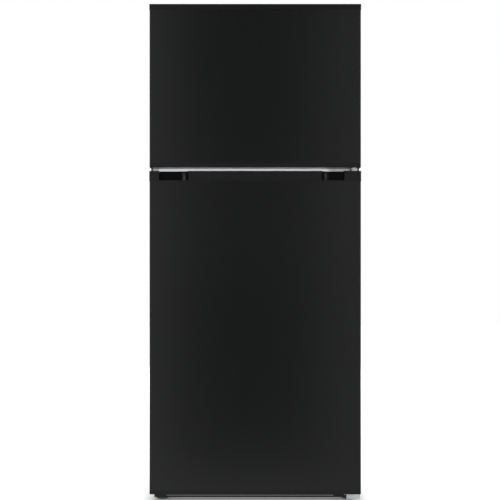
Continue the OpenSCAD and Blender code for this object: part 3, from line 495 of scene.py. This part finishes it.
def levelling_leg(side):
    """Rounded foot with a threaded stem."""
    lo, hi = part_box(f"leg_{side}")
    centre = Matrix.Translation(((lo.x + hi.x) / 2, (lo.y + hi.y) / 2, 0))
    foot = (hi.x - lo.x) / 2
    stem, root, pitch = 5.0 * MM, 4.3 * MM, 1.6 * MM
    profile = [(0, 0), (foot - 2 * MM, 0), (foot, 1.5 * MM), (foot, 4 * MM), (foot - 0.8 * MM, 5.5 * MM),
               (foot - 4 * MM, 7.8 * MM), (7.8 * MM, 9 * MM), (stem, 9.2 * MM)]
    z = 10 * MM
    while z < hi.z - pitch:
        profile += [(0.99 * stem, z), (root, z + pitch / 2)]
        z += pitch
    profile += [(0.8 * stem, hi.z), (0, hi.z)]
    bm = bmesh.new()
    revolve(bm, profile, centre)
    add_piece(f"{side}_levelling_foot", bm, f"{side}_leg", "dark_plastic", replaces=f"leg_{side}")


def rear_roller(side):
    """Wheel with a grooved tread and recessed hub faces."""
    lo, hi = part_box(f"roller_{side}")
    mid = (lo + hi) / 2
    half_w, r = (hi.x - lo.x) / 2, (hi.z - lo.z) / 2
    bore, hub, hollow = 4.05 * MM, 7.5 * MM, 2 * MM
    half = [(bore, half_w), (hub, half_w), (hub + 0.8 * MM, half_w - hollow), (r - 5 * MM, half_w - hollow),
            (r - 4 * MM, half_w - 0.4 * MM), (r - 1.2 * MM, half_w - 1.2 * MM), (r, half_w - 3.5 * MM)]
    groove = [(r, 2.2 * MM), (r - 0.8 * MM, 1.4 * MM), (r - 0.8 * MM, -1.4 * MM), (r, -2.2 * MM)]
    profile = half + groove + [(a, -h) for a, h in reversed(half)] + [half[0]]
    bm = bmesh.new()
    revolve(bm, profile, facing(mid, (1, 0, 0)))
    add_piece(f"{side}_roller_wheel", bm, f"{side}_roller", "dark_plastic", replaces=f"roller_{side}")


# ---------- fasteners ----------

HEAD_R = 4.6 * MM
HEAD_H = 2.6 * MM
NUT_SPAN = 11.5 * MM


def cross_screw(bm, origin, direction):
    """Pan head with a cross recess, as a polar height field, on a short shank."""
    matrix = facing(origin, direction)
    bands = 9
    arm, reach, depth = 0.7 * MM, 2.7 * MM, 1.2 * MM
    angles = around(48)
    rings = []
    for j in range(bands + 1):
        part = j / bands
        dome = HEAD_H * (1 - 0.45 * part ** 4)
        ring = []
        for a in angles:
            x, y = HEAD_R * part * math.cos(a), HEAD_R * part * math.sin(a)
            cut = min(abs(x), abs(y)) < arm and max(abs(x), abs(y)) < reach
            ring.append(matrix @ Vector((x, y, dome - (depth if cut else 0))))
        rings.append(ring)
    rings.append([matrix @ Vector((HEAD_R * math.cos(a), HEAD_R * math.sin(a), 0)) for a in angles])
    bridge(bm, rings, closed=False)
    rod(bm, matrix @ Vector((0, 0, -1.2 * MM)), matrix @ Vector((0, 0, 0.4 * MM)), 2.4 * MM, sides=16)


def hex_nut(bm, lo, hi):
    """Chamfered six-sided nut that fills a box."""
    matrix = Matrix.Translation(((lo.x + hi.x) / 2, (lo.y + hi.y) / 2, lo.z))
    bore, chamfer = 3.05 * MM, 0.5 * MM
    r, h = (hi.x - lo.x) / 2, hi.z - lo.z
    profile = [(bore, 0), (r - chamfer, 0), (r, chamfer), (r, h - chamfer), (r - chamfer, h),
               (bore, h), (bore, 0)]
    revolve(bm, profile, matrix, steps=6)


def fasteners():
    """Each CAD screw becomes a cross-recessed screw, each CAD nut a chamfered nut."""
    bm = bmesh.new()
    for lo, hi in islands(NODES["fasteners"]):
        size = hi - lo
        origin = (lo + hi) / 2
        if max(size) > NUT_SPAN:
            hex_nut(bm, lo, hi)
            continue
        # The axis is the one along which the screw isn't as wide as its head
        axis = max(range(3), key=lambda i: abs(size[i] - 2 * HEAD_R))
        out = Vector((0, 0, 0))
        out[axis] = -1.0 if axis == 1 and origin.y < 0 else 1.0
        tip = hi[axis] if out[axis] > 0 else lo[axis]
        origin[axis] = tip - out[axis] * HEAD_H
        cross_screw(bm, origin, out)
    add_piece("screws_and_nuts", bm, "cabinet", "zinc_plate", replaces="fasteners")


# ---------- seals ----------

def bellows_gasket(door):
    """Door seal with folded side walls and a flat magnet strip, mitred at its corners."""
    lo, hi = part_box(f"{door}_gasket")
    depth, width = (hi.y - lo.y) / MM, 18
    outer_wall = [(0, 0), (-0.8, 2.2), (-4.2, 3.4), (-4.4, 4.8), (-1.6, 6.2), (-1.2, 8.4)]
    magnet_strip = [(-1.6, depth), (-6, depth), (-12, depth), (-14.8, depth)]
    inner_wall = [(-15.2, 8.6), (-12.8, 6.6), (-13.2, 5), (-16.8, 3.4), (-width, 1.8), (-width, 0)]
    curve = smooth_profile(outer_wall + magnet_strip + inner_wall, 3)
    profile = [(min(0, max(-width, u)) * MM, min(depth, max(0, v)) * MM) for u, v in curve]
    bm = bmesh.new()
    sweep_ring(bm, ring_path(hi.x, lo.z, hi.z, 0), profile, lo.y)
    add_piece(f"{door}_bellows_seal", bm, door, "seal_rubber", smooth_deg=50, replaces=f"{door}_gasket")


# ---------- back of the cabinet ----------

COIL_PITCH = 62 * MM
COIL_ROWS = 18
COIL_TUBE_R = 2.5 * MM
BUMPER_X = (189 * MM, 211 * MM)


def condenser_wires():
    """Upright wires welded to the outside of the condenser tube, clear of the rear bumpers."""
    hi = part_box("condenser_coil")[1]
    wire_r, overhang = 0.8 * MM, 12 * MM
    count, reach = 26, 232 * MM
    top = hi.z - COIL_TUBE_R
    bottom = top - (COIL_ROWS - 1) * COIL_PITCH
    y = hi.y + 0.8 * wire_r
    bm = bmesh.new()
    for k in range(count):
        x = -reach + 2 * reach * k / (count - 1)
        if not BUMPER_X[0] - wire_r < abs(x) < BUMPER_X[1] + wire_r:
            rod(bm, (x, y, bottom - overhang), (x, y, top + overhang), wire_r, sides=6)
    add_piece("condenser_wires", bm, "cabinet", "compressor_black", smooth_deg=80)


def bead(height, width):
    """Half-round profile of a pressed bead, its foot sunk just under the surface."""
    steps, sunk = 8, 0.4 * MM
    arch = [(width * (k / steps - 0.5), height * math.sin(math.pi * k / steps)) for k in range(steps + 1)]
    return arch + [(width / 2, -sunk), (-width / 2, -sunk)]


def rear_panel_beads():
    """Stiffening beads pressed into the back panel, around three fields."""
    lo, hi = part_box("rear_panel")
    fields = 3
    margin, between, corner = 45 * MM, 30 * MM, 30 * MM
    height = (hi.z - lo.z - 2 * margin - (fields - 1) * between) / fields
    bm = bmesh.new()
    for k in range(fields):
        z0 = lo.z + margin + k * (height + between)
        path = ring_path(hi.x - margin, z0, z0 + height, corner)
        sweep_ring(bm, path, bead(1.8 * MM, 16 * MM), hi.y)
    add_piece("rear_panel_beads", bm, "cabinet", "zinc_plate")


def louvre_hood(bm, x, y, z):
    """Pressed hood that bulges out of the plane y, closed down at both ends."""
    half_w, shoulder, wall = 28 * MM, 2 * MM, 0.7 * MM
    drop, rise, out = 0.5 * MM, 6.2 * MM, 3.2 * MM
    arc = [(out * math.sin(math.radians(t)), drop + rise * math.cos(math.radians(t)))
           for t in (0, 22, 45, 68, 90)]
    rings = []
    for dx, bulge in ((-half_w, 0.2), (-half_w + shoulder, 1), (half_w - shoulder, 1), (half_w, 0.2)):
        outer = [Vector((x + dx, y + a * bulge, z + h)) for a, h in arc]
        inner = [Vector((x + dx, y + max(0, a * bulge - wall), z + h - 0.5 * MM)) for a, h in reversed(arc)]
        rings.append(outer + inner)
    bridge(bm, rings, closed=False, ends=True)


def louvre_hoods():
    """A small pressed hood over each slot of the compressor bay's cover."""
    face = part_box("bay_cover")[1].y
    bm = bmesh.new()
    for side in (-1, 1):
        for column in range(3):
            for row in range(9):
                louvre_hood(bm, side * (110 + 68 * column) * MM, face, (62 + 13 * row) * MM)
    add_piece("bay_cover_hoods", bm, "cabinet", "dark_plastic")


# ---------- inside fittings ----------

LINER_BEAD_INSET = {"freezer_door": 120 * MM, "fridge_door": 115 * MM}


def liner_bead(door):
    """Shallow bead that stiffens the flat inner face of a door's liner."""
    half_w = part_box(f"{door}_liner")[1].x - LINER_BEAD_INSET[door]
    seal_lo, seal_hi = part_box(f"{door}_gasket")
    path = ring_path(half_w, seal_lo.z + 60 * MM, seal_hi.z - 68 * MM, 30 * MM)
    bm = bmesh.new()
    sweep_ring(bm, path, bead(1.1 * MM, 12 * MM), seal_lo.y)
    add_piece(f"{door}_liner_bead", bm, door, "white_liner")


def control_dial():
    """Fluted knob on its flange, with a raised pointer."""
    lo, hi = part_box("thermostat_dial")
    x, z = (lo.x + hi.x) / 2, (lo.z + hi.z) / 2
    radius, knob_r, dish_r, shaft_r = (hi.x - lo.x) / 2, 14.8 * MM, 4 * MM, 3.95 * MM
    flutes, flute_depth, dish = 20, 0.035, 0.9 * MM
    base_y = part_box("control_box")[0].y - 0.4 * MM
    front = base_y - lo.y - 0.2 * MM
    matrix = facing((x, base_y, z), (0, -1, 0))
    flange = [(0, 0), (radius, 0), (radius, 3.5 * MM), (radius - 1.5 * MM, 5 * MM), (12 * MM, 5.2 * MM)]
    knob = [(knob_r, 4.8 * MM), (0.97 * knob_r, 12.5 * MM), (0.90 * knob_r, front - 0.4 * MM),
            (0.80 * knob_r, front), (dish_r, front - dish), (0, front - dish)]
    bm = bmesh.new()
    revolve(bm, flange, matrix, steps=64)
    revolve(bm, knob, matrix, steps=6 * flutes,
            swell=lambda a: 1 - flute_depth * (0.5 + 0.5 * math.cos(flutes * a)))
    rod(bm, (x, base_y - 1 * MM, z), (x, base_y + 14.4 * MM, z), shaft_r, sides=24)
    soft_box(bm, (x - 1.2 * MM, base_y - front - 0.1 * MM, z + 4 * MM),
             (x + 1.2 * MM, base_y - front + 1 * MM, z + 12.5 * MM), 0.4 * MM, 2)
    add_piece("ribbed_dial", bm, "dial", "white_plastic", replaces="thermostat_dial")


def lamp_glow():
    """Warm white of the lit diodes."""
    m = Shader("lamp_glow", (0.9, 0.9, 0.85), 0.4)
    m.set("Emission Color", (1.0, 0.96, 0.88, 1.0))
    m.set("Emission Strength", 2.5)
    return m.material


def lamp():
    """Row of lit diodes behind the lens."""
    lo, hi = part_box("lamp_lens")
    count = 5
    half = Vector((5, 12, 1.5)) * MM
    bm = bmesh.new()
    for k in range(count):
        x = lo.x + (hi.x - lo.x) * (k + 0.5) / count
        middle = Vector((x, (lo.y + hi.y) / 2, hi.z - 0.5 * MM))
        soft_box(bm, middle - half, middle + half, 0.6 * MM)
    add_piece("lamp_diodes", bm, "cabinet", "white_plastic", lamp_glow())


FAN_BLADES = 5
FAN_HUB_R = 12.8 * MM
FAN_BORE_R = 2.3 * MM
FAN_ROOT_R = 11.5 * MM


def fan_hub(bm, mid, front, back):
    """Round hub with a domed nose, bored for the motor's shaft."""
    length = back - front
    profile = [(FAN_BORE_R, 0), (FAN_HUB_R, 0), (FAN_HUB_R, length - 4 * MM),
               (0.8 * FAN_HUB_R, length - 1 * MM), (0.4 * FAN_HUB_R, length), (FAN_BORE_R, length),
               (FAN_BORE_R, 0)]
    revolve(bm, profile, facing((mid.x, back, mid.z), (0, -1, 0)), steps=40)


def fan_blade(bm, place, tip_r):
    """Cambered blade along matrix place's Z axis, flatter towards its tip."""
    spans, chords, half_t, camber = 8, 8, 0.7 * MM, 1.6 * MM
    rings = []
    for i in range(spans + 1):
        t = i / spans
        r = FAN_ROOT_R + (tip_r - FAN_ROOT_R) * t
        pitch = math.radians(27 - 9 * t)
        half_c = (8.5 + 5.5 * math.sin(math.pi * min(1, 0.8 * t + 0.2))) * MM
        front, back = [], []
        for c in (-1 + 2 * j / chords for j in range(chords + 1)):
            x = half_c * c * math.cos(pitch)
            y = half_c * c * math.sin(pitch) - camber * (1 - c * c)
            front.append(place @ Vector((x, y - half_t, r)))
            back.append(place @ Vector((x, y + half_t, r)))
        rings.append(front + list(reversed(back)))
    bridge(bm, rings, closed=False, ends=True)


def fan():
    """Hub with five twisted, cambered blades, centred on the motor."""
    lo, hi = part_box("fan_blade")
    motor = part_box("fan_motor")
    mid = (motor[0] + motor[1]) / 2
    mid.y = (lo.y + hi.y) / 2
    bm = bmesh.new()
    fan_hub(bm, mid, lo.y + 0.4 * MM, hi.y - 1.2 * MM)
    for b in range(FAN_BLADES):
        turn = Matrix.Rotation(2 * math.pi * b / FAN_BLADES, 4, "Y")
        fan_blade(bm, Matrix.Translation(mid) @ turn, 0.985 * (hi.z - mid.z))
    add_piece("fan_rotor", bm, "fan", "white_plastic", replaces="fan_blade")


# ---------- details of the front ----------

def cover_grey():
    """Mid-grey plastic of the hinge hole cover."""
    m = Shader("cover_grey", (0.34, 0.35, 0.36), 0.45)
    m.vary_color(m.noise(60, 2.0), (0.32, 0.33, 0.34), (0.36, 0.37, 0.38))
    m.bump(m.noise(1500, 2.0), 0.00003, 0.5)
    return m.material


def hinge_hole_cover():
    """Grey cap over the unused hinge holes at the free end of the rail."""
    rail_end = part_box("centre_rail")[0]
    hinge_lo, hinge_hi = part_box("middle_hinge")
    mid_z = (hinge_lo.z + hinge_hi.z) / 2
    outer_x, half_h, proud = -344 * MM, 9 * MM, 1.4 * MM
    bm = bmesh.new()
    soft_box(bm, (outer_x, rail_end.y - proud, mid_z - half_h),
             (rail_end.x + 1 * MM, rail_end.y, mid_z + half_h), 0.6 * MM)
    add_piece("hinge_hole_cover", bm, "cabinet", "rail_paint", cover_grey())


def painted_shade_black():
    """Matt black that hardly reflects: painted shade for the backs of the grip pockets."""
    m = Shader("grip_painted_shade", (0.0035, 0.0035, 0.0036), 0.8)
    m.vary_color(m.noise(40, 2.0), (0.0028, 0.0028, 0.0029), (0.0042, 0.0042, 0.0043))
    m.set("Specular IOR Level", 0.08)
    m.bump(m.noise(2200, 2.0), 0.00004, 0.6)
    return m.material


def grip_painted_shade_sheets():
    """Painted shade: a matt black sheet on the back of each pocket grip, running a little way into its cove,
    darkens the recess.
    """
    lo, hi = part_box("fridge_door_top_cap")
    depth, height, thick = 31.4 * MM, 30.5 * MM, 0.4 * MM
    cove_x = hi.x - 98 * MM
    cove_steps, cove_angle = 6, math.radians(14)
    bm = bmesh.new()
    for side, inset in ((-1, 32 * MM), (1, 55 * MM)):
        line = [(hi.x - inset - thick, depth)]
        for k in range(cove_steps + 1):
            a = cove_angle * k / cove_steps
            line.append((cove_x - depth * math.sin(a), depth * math.cos(a)))
        face = [(side * x, lo.y + y) for x, y in line]
        back = [(side * x, lo.y + y + thick) for x, y in reversed(line)]
        rings = [[Vector((x, y, z)) for x, y in face + back] for z in (hi.z - height, hi.z - 0.6 * MM)]
        bridge(bm, rings, closed=False, ends=True)
    # Painted shade: these sheets darken the pockets where only the recess's own shade falls.
    add_piece("grip_painted_shade_sheets", bm, "fridge_door", "black_plastic", painted_shade_black())


def build_details():
    """Every piece that is made here, in a fixed order."""
    for side in ("left", "right"):
        levelling_leg(side)
        rear_roller(side)
    fasteners()
    for door in ("freezer_door", "fridge_door"):
        bellows_gasket(door)
    condenser_wires()
    rear_panel_beads()
    louvre_hoods()
    for door in ("freezer_door", "fridge_door"):
        liner_bead(door)
    control_dial()
    lamp()
    fan()
    hinge_hole_cover()
    grip_painted_shade_sheets()


# ---------- stage, lights and camera ----------

# Sensor width in millimetres, distance from the doors' front, width seen there, and the lens's place
SENSOR = 36.0
DISTANCE = 4.0
VIEW_WIDTH = 1.6535
CAMERA_X = -0.0173
CAMERA_Z = 0.8423


def make_camera():
    """Straight-on, at the height of the object's middle, as in the photograph."""
    data = bpy.data.cameras.new("camera")
    data.sensor_width = SENSOR
    data.lens = SENSOR * DISTANCE / VIEW_WIDTH
    camera = bpy.data.objects.new("camera", data)
    camera.location = (CAMERA_X, CAD_BOX[0].y - DISTANCE, CAMERA_Z)
    camera.rotation_euler = (math.radians(90), 0, 0)
    bpy.context.scene.collection.objects.link(camera)
    bpy.context.scene.camera = camera


def area_light(name, place, aim, size, power, glossy=True, diffuse=True):
    """Unseen rectangular lamp; glossy and diffuse say whether it shows in gloss and lights surfaces."""
    data = bpy.data.lights.new(name, "AREA")
    data.shape = "RECTANGLE"
    data.size, data.size_y = size
    data.energy = power
    light = bpy.data.objects.new(name, data)
    light.location = place
    light.rotation_mode = "QUATERNION"
    light.rotation_quaternion = (Vector(aim) - Vector(place)).to_track_quat("-Z", "Y")
    light.visible_camera = False
    light.visible_glossy = glossy
    light.visible_diffuse = diffuse
    bpy.context.scene.collection.objects.link(light)


def reflector(name, x, z, brightness):
    """A panel in the plane of the camera that shows in gloss alone: x and z are its ranges."""
    wide, tall = x[1] - x[0], z[1] - z[0]
    place = ((x[0] + x[1]) / 2, CAD_BOX[0].y - DISTANCE, (z[0] + z[1]) / 2)
    aim = (place[0], 0, place[2])
    area_light(name, place, aim, (wide, tall), brightness * math.pi * wide * tall, diffuse=False)


def make_lights():
    """A strip that reaches the deep rail, a rear fill, and panels that show only as reflections."""
    rail_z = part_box("centre_rail")[0].z + 21 * MM
    area_light("front_strip", (0, -5.4, rail_z), (0, 0, rail_z), (3.2, 0.35), 235, glossy=False)
    area_light("back_fill", (0.3, 4.2, 1.6), (0, 0, 0.8), (2.8, 2.4), 150, glossy=False)
    for side in (-1, 1):
        area_light(f"side_panel_{side}", (side * 3.0, -1.5, 1.0), (0, -0.3, 0.8), (0.9, 3.4), 24,
                   diffuse=False)
        area_light(f"flank_panel_{side}", (side * 2.8, 2.6, 1.2), (0, 0, 0.8), (1.8, 3.0), 20,
                   diffuse=False)
    reflector("left_panel", (-1.6, -0.60), (-1.2, 3.0), 0.60)
    reflector("right_panel", (0.45, 2.0), (-1.2, 3.0), 0.35)
    reflector("low_panel", (-1.5, 1.5), (-1.9, -0.66), 0.50)


def world_math(tree, operation, first, second):
    """Math node between an output and either another output or a number."""
    made = tree.nodes.new("ShaderNodeMath")
    made.operation = operation
    tree.links.new(first, made.inputs[0])
    if isinstance(second, float):
        made.inputs[1].default_value = second
    else:
        tree.links.new(second, made.inputs[1])
    return made.outputs["Value"]


def world_mix(tree, factor, low, high):
    """Mix of two shaders."""
    made = tree.nodes.new("ShaderNodeMixShader")
    for socket, source in zip(made.inputs, (factor, low, high)):
        tree.links.new(source, socket)
    return made.outputs["Shader"]


def backdrop(tree, level):
    """Plain grey backdrop of that brightness."""
    made = tree.nodes.new("ShaderNodeBackground")
    made.inputs["Color"].default_value = (level, level, level, 1)
    return made.outputs["Background"]


def ray_world(tree, camera, glossy, diffuse):
    """World whose brightness is set apart for what is seen, for reflections and for light."""
    path = tree.nodes.new("ShaderNodeLightPath").outputs
    unscattered = world_math(tree, "LESS_THAN", path["Diffuse Depth"], 0.5)
    through = world_math(tree, "MULTIPLY", path["Is Transmission Ray"], unscattered)
    seen = world_math(tree, "MAXIMUM", path["Is Camera Ray"], through)
    unseen = world_mix(tree, path["Is Glossy Ray"], backdrop(tree, diffuse), backdrop(tree, glossy))
    return world_mix(tree, seen, unseen, backdrop(tree, camera))


def make_world():
    """White to the eye, dim in reflections so that the black doors stay black."""
    world = bpy.data.worlds.new("studio")
    world.use_nodes = True
    tree = world.node_tree
    tree.nodes.remove(tree.nodes["Background"])
    shade = ray_world(tree, camera=1.0, glossy=0.03, diffuse=0.40)
    tree.links.new(shade, tree.nodes["World Output"].inputs["Surface"])
    bpy.context.scene.world = world


def floor_material():
    """A white sweep: mostly its own brightness, with a painted contact shadow where something stands close
    over it.
    """
    m = Shader("floor_white", (0.30, 0.30, 0.30), 0.9)
    # Painted contact shadow: ambient occlusion dims the floor's own glow near the object.
    near = m.node("ShaderNodeAmbientOcclusion")
    near.inputs["Distance"].default_value = 0.06
    depth = m.node("ShaderNodeMath", operation="POWER")
    depth.inputs[1].default_value = 1.3
    m.link(near.outputs["AO"], depth.inputs[0])
    m.link(depth.outputs["Value"], m.bsdf.inputs["Emission Strength"])
    m.set("Emission Color", (1.0, 1.0, 1.0, 1.0))
    m.vary_color(m.noise(2, 2.0), (0.29, 0.29, 0.29), (0.31, 0.31, 0.31))
    return m.material


def make_floor():
    """Wide floor that is seen but neither reflects nor lights the object."""
    mesh = bpy.data.meshes.new("floor")
    bm = bmesh.new()
    bmesh.ops.create_grid(bm, x_segments=1, y_segments=1, size=9.0)
    bm.to_mesh(mesh)
    bm.free()
    floor = bpy.data.objects.new("floor", mesh)
    bpy.context.scene.collection.objects.link(floor)
    mesh.materials.append(floor_material())
    floor.visible_glossy = False
    floor.visible_diffuse = False
    floor.visible_shadow = False


bpy.context.scene.view_settings.view_transform = "Standard"
dress_cad()
soften_edges()
build_details()
make_camera()
make_lights()
make_world()
make_floor()
